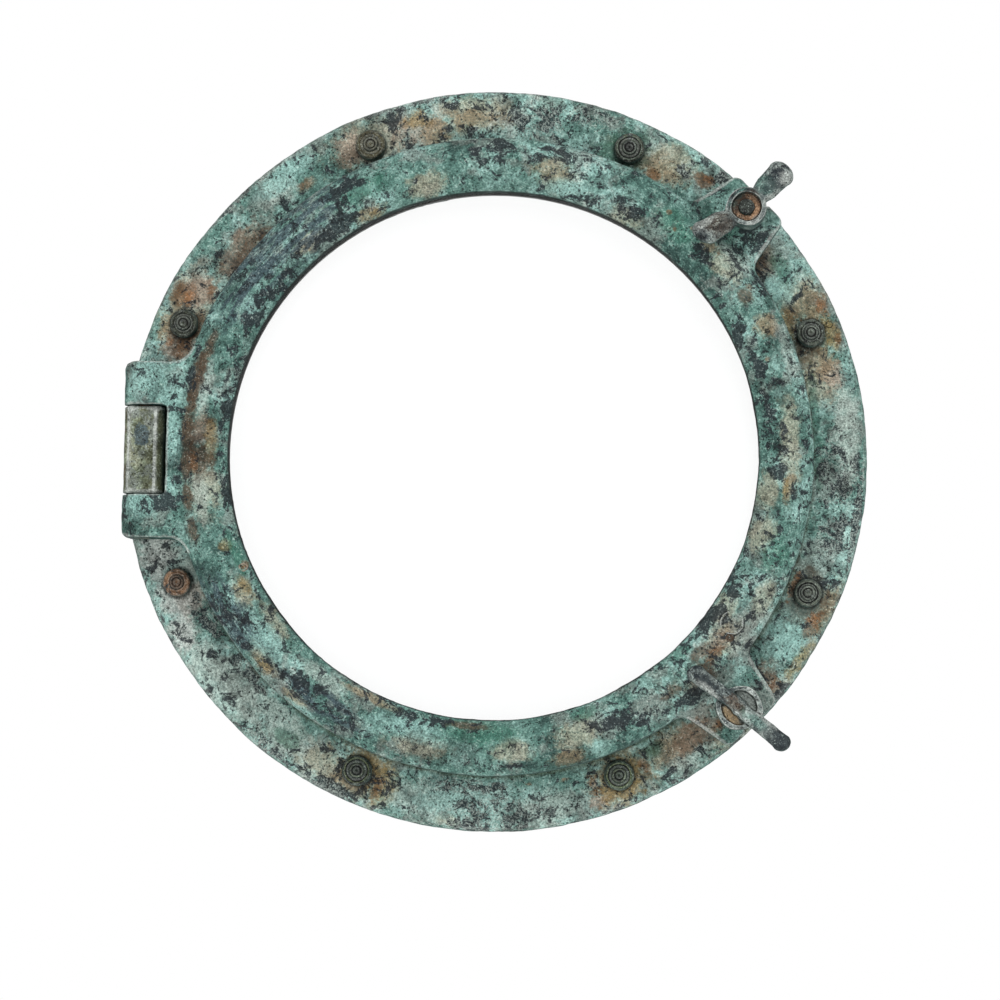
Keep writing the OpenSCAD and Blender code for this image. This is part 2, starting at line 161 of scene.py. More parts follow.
class Graph:
    """Builds one material. Its methods add a node and give back its result."""

    def __init__(self, name):
        self.material = bpy.data.materials.new(name)
        self.material.use_nodes = True
        self.tree = self.material.node_tree
        self.tree.nodes.clear()
        place = self.add("ShaderNodeTexCoord").outputs["Object"]
        self.place = self.vector("SCALE", place, scale=1 / MM)

    def add(self, kind, **settings):
        node = self.tree.nodes.new(kind)
        for name, value in settings.items():
            setattr(node, name, value)
        return node

    def put(self, socket, value):
        """Links a result to a socket, or sets a plain value on it."""
        if isinstance(value, bpy.types.NodeSocket):
            self.tree.links.new(value, socket)
        elif hasattr(value, "__len__") and len(value) == 3 and len(socket.default_value) == 4:
            socket.default_value = (*value, 1)
        else:
            socket.default_value = value

    def math(self, operation, a, b=0.0):
        node = self.add("ShaderNodeMath", operation=operation)
        self.put(node.inputs[0], a)
        self.put(node.inputs[1], b)
        return node.outputs[0]

    def vector(self, operation, a, b=None, scale=None):
        node = self.add("ShaderNodeVectorMath", operation=operation)
        self.put(node.inputs[0], a)
        if b is not None:
            self.put(node.inputs[1], b)
        if scale is not None:
            self.put(node.inputs["Scale"], scale)
        return node.outputs["Value"] if operation in ("LENGTH", "DISTANCE") else node.outputs[0]

    def noise(self, size, detail=4.0, rough=0.5, twist=0.0, place=None, shift=0.0, colour=False):
        """Cloudy noise whose largest lumps are about size millimetres across."""
        node = self.add("ShaderNodeTexNoise", noise_dimensions="3D")
        place = place or self.place
        if shift:
            place = self.vector("ADD", place, (shift, -shift * 0.7, shift * 1.3))
        self.put(node.inputs["Vector"], place)
        self.put(node.inputs["Scale"], 1 / size)
        self.put(node.inputs["Detail"], detail)
        self.put(node.inputs["Roughness"], rough)
        self.put(node.inputs["Distortion"], twist)
        return node.outputs["Color" if colour else "Fac"]

    def cells(self, size, place):
        """The distance to the nearest of many scattered points."""
        node = self.add("ShaderNodeTexVoronoi", feature="F1")
        self.put(node.inputs["Vector"], place)
        self.put(node.inputs["Scale"], 1 / size)
        return node.outputs["Distance"]

    def ramp(self, value, stops):
        node = self.add("ShaderNodeValToRGB")
        self.put(node.inputs[0], value)
        line = node.color_ramp.elements
        while len(line) < len(stops):
            line.new(0.5)
        for element, (position, tone) in zip(line, stops):
            element.position = position
            element.color = (*tone, 1)
        return node.outputs["Color"]

    def step(self, value, low, high, start=0.0, end=1.0):
        """Rises smoothly from start to end as value goes from low to high."""
        node = self.add("ShaderNodeMapRange", interpolation_type="SMOOTHSTEP")
        self.put(node.inputs["Value"], value)
        for name, number in (("From Min", low), ("From Max", high), ("To Min", start), ("To Max", end)):
            self.put(node.inputs[name], number)
        return node.outputs["Result"]

    def mix(self, share, a, b, blend="MIX"):
        node = self.add("ShaderNodeMix", data_type="RGBA", blend_type=blend)
        self.put(node.inputs["Factor"], share)
        colours = [socket for socket in node.inputs if socket.type == "RGBA"]
        self.put(colours[0], a)
        self.put(colours[1], b)
        return next(socket for socket in node.outputs if socket.type == "RGBA")

    def times(self, *values):
        result = values[0]
        for value in values[1:]:
            result = self.math("MULTIPLY", result, value)
        return result

    def total(self, *parts):
        """Adds up (value, weight) pairs."""
        result = self.math("MULTIPLY", *parts[0])
        for value, weight in parts[1:]:
            result = self.math("ADD", result, self.math("MULTIPLY", value, weight))
        return result

    def split(self, vector):
        """The X, Y and Z of a vector."""
        node = self.add("ShaderNodeSeparateXYZ")
        self.put(node.inputs[0], vector)
        return node.outputs

    def attribute(self, name):
        """A number that store() kept on the vertices."""
        return self.add("ShaderNodeAttribute", attribute_name=name).outputs["Fac"]

    def bump(self, height, depth):
        node = self.add("ShaderNodeBump")
        self.put(node.inputs["Height"], height)
        self.put(node.inputs["Distance"], depth * MM)
        return node.outputs["Normal"]

    def finish(self, colour, rough, metal=0.0, normal=None, **extra):
        """Feeds the shader. Other sockets are given by name, with _ for a space."""
        shader = self.add("ShaderNodeBsdfPrincipled")
        self.put(shader.inputs["Base Color"], colour)
        self.put(shader.inputs["Roughness"], rough)
        self.put(shader.inputs["Metallic"], metal)
        if normal is not None:
            self.put(shader.inputs["Normal"], normal)
        for name, value in extra.items():
            self.put(shader.inputs[name.replace("_", " ")], value)
        out = self.add("ShaderNodeOutputMaterial")
        self.tree.links.new(shader.outputs[0], out.inputs[0])
        return self.material


# ---------------------------------------------------------------- patina

# Tones as linear red, green and blue
MINT = (0.255, 0.440, 0.400)
PALE = (0.385, 0.455, 0.410)
MID_TEAL = (0.165, 0.290, 0.255)
TEAL = (0.095, 0.200, 0.170)
EMERALD = (0.040, 0.150, 0.105)
DEEP_TEAL = (0.040, 0.085, 0.075)
GREY_GREEN = (0.190, 0.215, 0.195)
OLIVE = (0.070, 0.080, 0.045)
SLATE = (0.017, 0.023, 0.028)
SLATE_BLUE = (0.055, 0.085, 0.100)
SOOT_AND_SHADE = (0.007, 0.008, 0.008)
BEIGE = (0.350, 0.335, 0.245)
TAN = (0.270, 0.200, 0.115)
PINK_TAN = (0.360, 0.270, 0.210)
KHAKI = (0.180, 0.170, 0.090)
BROWN = (0.085, 0.055, 0.034)
RUST = (0.170, 0.080, 0.032)
ORANGE = (0.300, 0.130, 0.045)
GOLD = (0.270, 0.185, 0.060)
COPPER = (0.230, 0.125, 0.065)
UMBER = (0.190, 0.125, 0.085)
WORN_AND_HIGHLIGHT = (0.470, 0.500, 0.470)

# What a spot's field holds well outside the spot
FAR = 4.0
# A distance in millimetres from which a vertex counts as nowhere near a feature
OFF = 99.0
# The ring's mean radius in millimetres, along which an angle is turned into a length
RING_MIDDLE = 150.0


def spot_field(x, z, spots):
    """Below 1 inside any of the spots, each an (angle, radius, half length, half width)."""
    field = np.full(len(x), FAR)
    for angle, radius, along, across in spots:
        turn = math.radians(angle)
        outward = x * math.cos(turn) + z * math.sin(turn) - radius
        sideways = z * math.cos(turn) - x * math.sin(turn)
        field = np.minimum(field, np.hypot(outward / across, sideways / along))
    return field


def store(mesh, name, values):
    """Keeps one number for each vertex, for the material to read."""
    attribute = mesh.attributes.get(name) or mesh.attributes.new(name, "FLOAT", "POINT")
    attribute.data.foreach_set("value", values.astype(np.float32))


def store_spots(mesh, groups, back):
    """Keeps each group's field on the vertices. Nothing behind the depth back is stained."""
    x, y, z = (vertex_places(mesh) / MM).T
    for name, spots in groups.items():
        store(mesh, name, np.where(y < back, spot_field(x, z, spots), FAR))


def store_edges(mesh):
    """Keeps how sharply the surface bends: above 0 on an outer edge and below 0 in a corner."""
    places = vertex_places(mesh).astype(np.float64)
    normals = np.empty(len(places) * 3, np.float32)
    mesh.vertex_normals.foreach_get("vector", normals)
    normals = normals.reshape(-1, 3)
    ends = np.empty(len(mesh.edges) * 2, np.int32)
    mesh.edges.foreach_get("vertices", ends)
    first, second = ends.reshape(-1, 2).T
    count = np.bincount(np.concatenate((first, second)), minlength=len(places))

    def mean_of_neighbours(values):
        total = np.bincount(first, values[second], len(places))
        total += np.bincount(second, values[first], len(places))
        return total / np.maximum(count, 1)

    hollow = sum((mean_of_neighbours(places[:, k]) - places[:, k]) * normals[:, k] for k in range(3))
    span = np.linalg.norm(places[first] - places[second], axis=1).mean()
    bend = -hollow / span
    store(mesh, "edge", 0.5 * bend + 0.5 * mean_of_neighbours(bend))


def vertex_places(mesh):
    """The place of each vertex, one in a row."""
    places = np.empty(len(mesh.vertices) * 3, np.float32)
    mesh.vertices.foreach_get("co", places)
    return places.reshape(-1, 3)


class Patina:
    """Layers of corrosion that a bronze piece's material is mixed from.

    shift moves the noise, so that no two pieces look alike, and scale sets the size of the marks.
    """

    def __init__(self, g, shift, scale=1.0):
        self.g = g
        self.shift = shift
        self.scale = scale
        self.broad = g.noise(40 * scale, 3, 0.55, shift=shift + 31)
        self.patches = g.noise(15 * scale, 9, 0.68, 0.35, shift=shift + 57)
        self.mottle = g.noise(4.2 * scale, 9, 0.80, 0.4, shift=shift + 83)
        self.grain = g.noise(1.0 * scale ** 0.5, 4, 0.75, shift=shift + 11)
        self.flakes = g.noise(8.0 * scale, 11, 0.76, 0.5, shift=shift + 131)
        self.second = g.noise(11 * scale, 9, 0.72, 0.2, shift=shift + 211)
        self.colour = None
        self.dark = 0.0

    def ground(self, stops):
        """The widest tones, broken up by the finer noise."""
        g = self.g
        blend = g.total((self.broad, 0.38), (self.patches, 0.42), (self.mottle, 0.20))
        self.colour = g.ramp(blend, stops)

    def tint(self, warm, cool):
        """Leans wide areas towards one tone or another."""
        g = self.g
        lean = g.noise(24 * self.scale, 5, 0.62, shift=self.shift + 301)
        self.lay(g.step(lean, 0.52, 0.60), warm, 0.6)
        self.lay(g.step(lean, 0.40, 0.47, 1.0, 0.0), cool, 0.6)

    def crust(self):
        """Fine crisp breaks in the green crust, and chalky crumbs on it."""
        g = self.g
        self.lay(g.step(self.mottle, 0.395, 0.430, 1.0, 0.0), DEEP_TEAL, 0.58)
        self.lay(g.step(self.mottle, 0.575, 0.625), PALE, 0.30)

    def lay(self, mask, tone, strength=1.0):
        """Puts a tone over what is there, where the mask is high."""
        share = mask if strength == 1.0 else self.g.math("MULTIPLY", mask, strength)
        self.colour = self.g.mix(share, self.colour, tone)

    def field(self, name, rough=2.6):
        """A group of spots with its borders torn by the mottling: below 1 inside."""
        g = self.g
        torn = g.total((self.second, rough), (self.mottle, rough * 0.8))
        return g.math("ADD", g.attribute(name), g.math("SUBTRACT", torn, rough * 0.90))

    def stain(self, name, tone, strength=0.85, soft=0.42):
        """Colours a group of spots, thin where the crust under them is thick."""
        g = self.g
        inside = g.step(self.field(name), 1 - soft, 1 + soft, 1.0, 0.0)
        self.lay(g.times(inside, g.step(self.grain, 0.34, 0.60, 0.55, 1.0)), tone, strength)

    def slate(self, level, crowd=None):
        """Dark flakes with crisp torn borders, fewer for a higher level. They crowd under the mask crowd."""
        g = self.g
        amount = g.total((self.flakes, 1.0), (self.broad, 0.22))
        if crowd is not None:
            amount = g.math("ADD", amount, g.math("MULTIPLY", crowd, 0.085))
        self.dark = g.step(amount, level - 0.012, level + 0.012)
        self.lay(self.dark, SLATE, 0.92)


def worm_mask(g, size, width):
    """Curly thin lines, as lichen leaves."""
    field = g.noise(size, 3, 0.55, 0.8)
    return g.step(g.math("ABSOLUTE", g.math("SUBTRACT", field, 0.5)), width * 0.5, width, 1.0, 0.0)


def pit_mask(g, size, reach, warp):
    """Round dark pits, bent out of true by some noise."""
    bend = g.vector("SCALE", g.noise(size, 2, 0.5, colour=True), scale=warp)
    return g.step(g.cells(size, g.vector("ADD", g.place, bend)), reach * 0.6, reach, 1.0, 0.0)


def ring_mask(g, field, radius, half):
    """A thin ring where a field of distances passes one radius."""
    return g.step(g.math("ABSOLUTE", g.math("SUBTRACT", field, radius)), half * 0.4, half, 1.0, 0.0)


def from_axis(g):
    """The distance from the window's axis."""
    x, _, z = g.split(g.place)
    return g.math("SQRT", g.math("ADD", g.math("MULTIPLY", x, x), g.math("MULTIPLY", z, z)))


def along_ring(g, stretch):
    """A place whose noise runs in streaks round the window."""
    x, y, z = g.split(g.place)
    place = g.add("ShaderNodeCombineXYZ")
    g.put(place.inputs[0], from_axis(g))
    g.put(place.inputs[1], g.math("MULTIPLY", g.math("ARCTAN2", z, x), RING_MIDDLE / stretch))
    g.put(place.inputs[2], y)
    return place.outputs[0]


# Groups of stains, with painted light among them where noted: tone, strength and spots, each spot (angle,
# radius, half length, half width)
FLANGE_STAINS = {
    "pale": (PALE, 0.70, [(-140, 179, 34, 9), (-121, 179, 20, 8), (-80, 180, 24, 8), (-100, 178, 24, 8),
                  (-55, 181, 16, 7), (150, 180, 14, 6), (-130, 172, 20, 6), (64, 178, 10, 6),
                  (131, 178, 14, 6), (-163, 178, 12, 9), (-156, 176, 12, 10), (-160, 171, 9, 7),
                  (5, 180, 26, 6), (-92, 172, 20, 5), (-12, 184, 18, 5)]),
    "beige": (BEIGE, 0.80, [(113, 177, 20, 11), (94, 181, 20, 6), (-117, 178, 18, 8), (60, 176, 12, 9),
                   (14, 170, 10, 9), (155, 176, 22, 11), (-96, 186, 6, 3), (-47, 186, 18, 5)]),
    "pink_tan": (PINK_TAN, 0.75, [(116, 176, 9, 8), (104, 176, 12, 9), (161, 172, 9, 9), (151, 175, 8, 7),
                      (15, 178, 7, 6), (-155, 170, 8, 5), (-72, 183, 5, 3)]),
    "tan": (TAN, 0.80, [(94, 175, 15, 6), (28, 178, 12, 10), (18, 173, 10, 8), (-57, 172, 14, 8),
                 (-43, 172, 9, 7), (-22.5, 186, 14, 4), (-112.5, 175, 14, 11), (101, 172, 9, 7),
                 (63, 172, 16, 6), (157.5, 182, 14, 5), (-67.5, 175, 15, 13)]),
    "mint": (MINT, 0.85, [(-30, 175, 13, 9), (33, 172, 10, 8), (-12, 184, 18, 5), (-92, 175, 30, 10),
                  (128, 182, 16, 6)]),
    # umber's spot at 38° and brown's spot at 39° are a painted shadow beside the upper ear
    "umber": (UMBER, 0.85, [(142, 169, 22, 8), (-40, 178, 12, 8), (-54, 174, 12, 7), (38, 171, 10, 8)]),
    "gold": (GOLD, 0.70, [(-67.5, 175, 12, 11), (-112, 168, 9, 5), (-108, 176, 7, 10), (25, 166, 7, 5),
                  (21, 184, 9, 4), (104, 180, 7, 5), (-33, 187, 12, 3)]),
    "brown": (BROWN, 0.75, [(141, 166, 14, 4), (39, 168, 8, 5), (-38, 180, 6, 4),
                   (117, 173, 6, 5), (160, 174, 8, 5), (-23, 175, 14, 13), (-50, 180, 9, 4),
                   (67.5, 172, 14, 7), (22.5, 169, 13, 5)]),
    "rust": (RUST, 0.75, [(125.4, 172, 4, 3), (54, 179, 6, 3), (62, 168, 5, 3), (26, 185, 5, 3),
                  (-155, 176, 10, 2.4), (-27, 183, 7, 4), (153, 181, 6, 5), (161, 170, 6, 4),
                  (-72, 174, 2.6, 7), (-63, 174, 2.2, 5), (-108.5, 179, 3, 6), (-39, 184, 8, 4),
                  (150, 170, 3, 2), (20, 186, 3, 2), (157.5, 168, 9, 3)]),
    "orange": (ORANGE, 0.55, [(-26, 182, 3, 2.4), (153, 178, 3, 2), (-76.7, 168, 2.6, 1),
                    (53.4, 181, 3, 1.6), (26.5, 184, 3, 1.4), (161, 178, 3, 2), (-83, 167, 1.6, 1),
                    (-22.5, 166, 7, 2)]),
    # chalk is pale patina laid strongly below the hinge arm, partly as painted light that lifts the arm's
    # shadow
    "chalk": (WORN_AND_HIGHLIGHT, 0.80, [(-163, 180, 12, 8), (-156, 177, 12, 9), (-166, 175, 7, 6), (-150, 182, 10, 6)]),
    "emerald": (EMERALD, 0.70, [(69, 170, 12, 5), (5, 165, 30, 2.6), (-60, 170, 5, 4), (-125, 178, 8, 4),
                      (67.5, 175, 11, 10), (35, 177, 9, 4)]),
    "oval": (SLATE_BLUE, 0.92, [(177.6, 179, 5.4, 3.8)]),
}
FLANGE_SLATE = [(57.5, 178.5, 4.5, 4.5), (-128, 187, 14, 4), (-115.5, 187.5, 9, 3),
                (-92, 187.5, 32, 2.6), (105, 189, 32, 2), (135, 189, 30, 2), (-8, 187, 30, 1.6),
                (84, 175, 15, 9), (-150, 167, 12, 5), (-137, 166, 11, 5), (-12, 177, 11, 8),
                (-1, 176, 20, 9), (-88, 180, 26, 7), (-95, 168, 24, 4), (75, 183, 14, 5), (50, 186, 10, 4)]

RING_STAINS = {
    "beige": (BEIGE, 0.70, [(40, 152, 9, 7), (3, 150, 22, 5), (-16, 141, 9, 7), (-28, 155, 12, 5),
                   (-33, 141, 9, 6), (-72, 148, 12, 7), (-172, 147, 14, 8), (-141, 139, 10, 4),
                   (-103, 152, 14, 6), (62, 138, 8, 4), (105, 141, 9, 6), (-85, 150, 9, 6),
                   (-7, 140, 9, 5), (-38, 150, 12, 8)]),
    "tan": (TAN, 0.75, [(79, 147, 10, 7), (118, 138.5, 8, 3), (26, 153, 6, 5), (-36, 150, 6, 5),
                 (-75, 158, 9, 3), (-150, 144, 8, 5), (-136.5, 156, 10, 4), (-5.5, 150, 8, 2.6),
                 (132, 143, 9, 4), (45, 152, 6, 3), (-115, 137.5, 16, 2), (-128, 158, 8, 2.4)]),
    # pale's first two spots are a painted highlight along the ring's bead beside the hinge arm
    "pale": (PALE, 0.60, [(168.5, 149.5, 13, 3.4), (-171, 149, 13, 4), (40, 158, 12, 3), (20, 158, 14, 3),
                  (-35, 157, 12, 4), (-30, 163, 6, 4), (-125, 142, 14, 4)]),
    "mint": (MINT, 0.85, [(168, 181, 11, 9), (170, 166, 10, 7), (-171.5, 183, 11, 9), (-173, 166, 9, 6),
                  (178, 163, 13, 5), (-140, 148, 16, 6), (-105, 145, 18, 6), (75, 140, 10, 4)]),
    "umber": (UMBER, 0.75, [(-50, 176, 8, 6), (-39, 148, 8, 4), (-47, 155, 10, 4), (176, 147, 8, 5),
                   (-50, 168, 6, 5)]),
    # This group is painted shade, dark brown, in the groove between the hinge arm and the ring's bead
    "valley_shade": (BROWN, 0.95, [(159, 154, 8, 2.8), (165, 155, 9, 3.0), (171, 155, 10, 3.0),
                    (177, 155, 10, 3.0), (-177, 155.5, 10, 2.8), (-171, 156, 9, 2.7),
                    (-165, 157, 9, 2.6)]),
    "ash": (GREY_GREEN, 0.85, [(-36, 165, 9, 8), (-52, 169, 11, 9), (-45, 160, 14, 8), (-42, 184, 9, 9),
                  (-33, 153, 10, 7), (-57, 150, 10, 7), (45, 190, 8, 4)]),
    "gold": (GOLD, 0.55, [(-151, 142, 5, 3), (-6, 149, 5, 1.6), (117, 137, 5, 2), (-136, 157, 5, 2),
                  (-160, 143, 3, 3), (178, 143, 10, 3)]),
    "emerald": (EMERALD, 0.70, [(-91, 141, 20, 6), (-19, 151, 9, 6), (118, 151, 16, 6), (-46, 138, 6, 3),
                     (-70, 139, 8, 3), (-157, 139, 12, 2.4), (52, 148, 12, 6), (45, 166, 9, 7)]),
    # brown's spots at 167° and 175° are painted shade in that same groove
    "brown": (BROWN, 0.90, [(-177.5, 147, 9, 7), (-45, 153, 8, 5), (-94.5, 138, 9, 1.8),
                   (167, 155, 16, 3.6), (175, 157, 8, 2), (33, 151, 4, 4), (-43, 145, 6, 3),
                   (-52, 150, 6, 4)]),
    "rust": (RUST, 0.70, [(-177, 151, 5, 1.8), (55, 152, 1.2, 1.2), (49.6, 152.6, 1.2, 1.2),
                  (42.6, 152.7, 1.2, 1.2), (52, 146.6, 1.2, 1.2), (-41, 151, 5, 2.4),
                  (34, 155, 2.4, 1.6), (20, 147, 1.5, 1.5), (-155, 137, 2, 1.6), (-48, 178, 9, 3),
                  (-52, 172, 6, 4)]),
}
RING_STREAKS = [(138, 150, 42, 13), (-148, 156, 20, 8), (-124, 152, 24, 6)]
RING_SLATE = [(150, 140, 22, 5), (125, 141, 14, 5), (90.8, 154, 13, 6), (44.7, 146, 9, 5), (23, 140, 14, 5),
              (10, 140, 16, 5), (1, 144, 11, 6), (-27, 139, 9, 4), (-64, 150, 15, 7),
              (-103.3, 138.5, 12, 4), (-87, 158, 9, 2.2), (-124, 152, 24, 6), (-148, 157, 15, 6),
              (172, 136.5, 24, 3.4), (-167, 136, 20, 2.6), (-37, 138, 9, 3), (-50, 158, 9, 3),
              (62, 143, 8, 4), (120, 156, 14, 3), (42, 172, 8, 6), (48, 158, 10, 4),
              # The spots near the hinge at radius 158.5 to 159 are painted shade in the groove beside the
              # hinge arm
              (-173, 176, 7, 4), (-169, 189, 12, 3), (176, 158.5, 10, 2),
              (-173, 158.5, 13, 2.4), (164, 159, 8, 2), (-171, 172, 7, 8), (-172, 162, 12, 3)]

# Scars: (angle, radius, radius of the mark, half width of its line, tone)
FLANGE_SCARS = [(22.8, 184.7, 1.6, 0.45, SOOT_AND_SHADE), (-32, 168, 1.4, 0.9, SOOT_AND_SHADE), (-32, 168, 2.8, 0.3, MINT),
                (-34, 183.6, 1.2, 1.0, SOOT_AND_SHADE), (-34, 183.6, 2.6, 0.3, PALE),
                (-34, 183.6, 3.6, 0.3, SOOT_AND_SHADE), (-27.4, 173.5, 2.0, 0.4, SOOT_AND_SHADE),
                (-59, 165, 3.4, 0.5, SOOT_AND_SHADE), (-19.5, 176.5, 1.0, 0.9, SOOT_AND_SHADE),
                (-17.5, 180, 0.8, 0.6, SOOT_AND_SHADE)]
RING_SCARS = [(-34.4, 147.8, 6.4, 0.35, SOOT_AND_SHADE), (-34.4, 147.8, 5.6, 0.30, WORN_AND_HIGHLIGHT),
              (-34.4, 147.8, 4.4, 0.30, SOOT_AND_SHADE), (-37, 151.5, 1.4, 1.0, BROWN),
              (-154.5, 138.5, 0.6, 0.6, RUST), (-154.5, 138.5, 1.8, 0.5, PINK_TAN),
              (25, 152, 0.8, 0.8, SOOT_AND_SHADE), (16, 153, 0.7, 0.8, SOOT_AND_SHADE), (10, 151, 0.7, 0.8, SOOT_AND_SHADE)]

# Where the centre knuckle's worn flat begins and ends, along X in millimetres
KNUCKLE_WORN = (-186.0, -172.3)
# How little corroded bronze shines, and how much the ring is darkened
DULL = 0.16
RING_SHADE = (0.92, 0.92, 0.92)
# Added to the noise levels at which the tones change, so that more is darker
FLANGE_SHIFT = -0.014
RING_SHIFT = 0.015
# How sharply a surface bends from where a corner gets painted shade, and where an edge gets wear with a
# painted highlight
CORNER_SHADE_BEND = (-0.085, -0.030)
EDGE_BEND = (0.050, 0.120)
# Where painted shade fades out, in millimetres: measured from the window's axis at the ring's foot and in
# the bores, and from a stud's axis round its nut
RING_FOOT_SHADE = (164.8, 167.6)
CASTING_BORE_SHADE = (134.4, 135.4)
BRASS_BORE_SHADE = (138.5, 139.5)
STUD_SHADOW = (7.6, 9.2)


def base_tones(shift):
    """The crust's tones from dark to pale."""
    stops = [(0.405, DEEP_TEAL), (0.455, TEAL), (0.500, MID_TEAL), (0.545, MINT), (0.62, PALE)]
    return [(place + shift, tone) for place, tone in stops]


def coat(g, patina, spread, worn=0.62, corner_shade=0.88):
    """Pits, grain, worn edges with a painted highlight, painted shade in corners and on side walls, and bump
    that every bronze piece shares.

    spread is the bump's height in millimetres; worn sets how strong the edges' wear and painted highlight
    are, and the last argument how strong the corners' painted shade is.
    """
    edge = g.attribute("edge")
    corner = g.step(edge, *CORNER_SHADE_BEND, 1.0, 0.0)
    wear_and_highlight = g.times(g.step(edge, *EDGE_BEND), g.step(patina.mottle, 0.34, 0.46))
    small = g.times(pit_mask(g, 1.7, 0.32, 1.5), g.step(patina.second, 0.44, 0.54))
    large = g.times(pit_mask(g, 4.2, 0.20, 3.0), g.step(patina.patches, 0.46, 0.55))
    pits = g.math("MAXIMUM", small, large)
    patina.lay(pits, SOOT_AND_SHADE, 0.80)
    crumbs = g.times(g.step(patina.grain, 0.57, 0.64), g.step(patina.mottle, 0.42, 0.56))
    patina.lay(crumbs, PALE, 0.50)
    # Painted shade, near black, in concave corners
    patina.lay(g.times(corner, g.step(patina.second, 0.38, 0.50, 0.35, 1.0)), SOOT_AND_SHADE, corner_shade)
    # Pale worn edges, laid bright enough to be a painted highlight along them as well
    patina.lay(wear_and_highlight, WORN_AND_HIGHLIGHT, worn)
    # Painted shade on side walls, whose normals point sideways
    facing = g.split(g.add("ShaderNodeTexCoord").outputs["Normal"])[1]
    side = g.step(g.math("ABSOLUTE", facing), 0.12, 0.50, 1.0, 0.0)
    patina.lay(g.times(side, g.step(patina.second, 0.36, 0.48, 0.4, 1.0)), DEEP_TEAL, 0.75)
    smudge = g.step(g.noise(19, 6, 0.66, shift=patina.shift + 401), 0.52, 0.62, 1.0, 0.60)
    shade = g.step(patina.mottle, 0.36, 0.64, 0.76, 1.20)
    fine = g.step(patina.grain, 0.36, 0.64, 0.62, 1.38)
    tone = g.mix(1.0, patina.colour, g.times(shade, fine, smudge), "MULTIPLY")
    height = g.total((patina.mottle, 1.0), (patina.grain, 0.36), (patina.dark, -0.16),
                     (pits, -0.35), (patina.patches, 1.2))
    rough = g.step(patina.dark, 0.0, 1.0, 0.86, 0.62)
    return tone, rough, g.bump(height, spread)


def knuckle_face(g, patina):
    """Bare olive metal on the centre knuckle, with a pale line along each side of its worn flat."""
    field = g.attribute("knuckle")
    inside = g.step(field, -OFF * 4, -OFF * 3)
    patina.lay(inside, KHAKI, 0.75)
    patina.lay(g.times(inside, g.step(patina.second, 0.47, 0.55)), GREY_GREEN, 0.85)
    patina.lay(g.times(inside, g.step(patina.flakes, 0.50, 0.56)), OLIVE, 0.80)
    slope = g.step(field, KNUCKLE_WORN[0] - 2.5, KNUCKLE_WORN[0] - 0.6, 1.0, 0.0)
    patina.lay(g.times(inside, slope, g.step(patina.second, 0.42, 0.52)), RUST, 0.65)
    slope = g.step(field, KNUCKLE_WORN[1] + 0.3, KNUCKLE_WORN[1] + 2.0)
    patina.lay(g.times(inside, slope), OLIVE, 0.85)
    for place in KNUCKLE_WORN:
        patina.lay(ring_mask(g, field, place, 1.0), WORN_AND_HIGHLIGHT, 0.80)


def scars(g, patina, marks):
    """Small marks as rings or parts of rings."""
    flat = g.vector("MULTIPLY", g.place, (1, 0, 1))
    for angle, radius, size, half, tone in marks:
        turn = math.radians(angle)
        away = g.vector("DISTANCE", flat, (radius * math.cos(turn), 0, radius * math.sin(turn)))
        away = g.math("ADD", away, g.total((patina.mottle, 2.0), (patina.grain, 1.0)))
        arc = ring_mask(g, away, size + 1.5, half)
        patina.lay(g.times(arc, g.step(patina.flakes, 0.44, 0.50)), tone, 0.80)


def flange_material():
    """Grey-green crust, stained more than the ring, with painted shade at the ring's foot and round the
    studs.
    """
    g = Graph("flange_patina")
    patina = Patina(g, 0.0)
    front = g.step(g.split(g.place)[1], -7.0, -4.0, 1.0, 0.0)
    patina.ground(base_tones(FLANGE_SHIFT))
    patina.tint(GREY_GREEN, TEAL)
    patina.crust()
    for name, (tone, strength, _) in FLANGE_STAINS.items():
        patina.stain(name, tone, strength)
    crowd = g.step(patina.field("slate", 1.6), 0.6, 1.5, 1.0, 0.0)
    patina.slate(0.678, crowd)
    patina.lay(g.times(worm_mask(g, 2.2, 0.05), g.step(crowd, 0.3, 0.7)), PALE, 0.55)
    away = g.math("ADD", from_axis(g), g.math("MULTIPLY", patina.mottle, 5.0))
    # Painted shade on the flange's face along the ring's foot
    patina.lay(g.times(g.step(away, *RING_FOOT_SHADE, 1.0, 0.0), front), OLIVE, 0.62)
    knuckle_face(g, patina)
    # Laid once more, because the knuckle's bare metal covered it
    patina.stain("oval", SLATE_BLUE, 0.92, 0.2)
    # Painted shadow round each stud's nut
    patina.lay(g.step(g.attribute("stud_shadow"), *STUD_SHADOW, 1.0, 0.0), SOOT_AND_SHADE, 0.70)
    scars(g, patina, FLANGE_SCARS)
    tone, rough, normal = coat(g, patina, 0.60)
    return g.finish(tone, rough, normal=normal, Specular_IOR_Level=DULL)


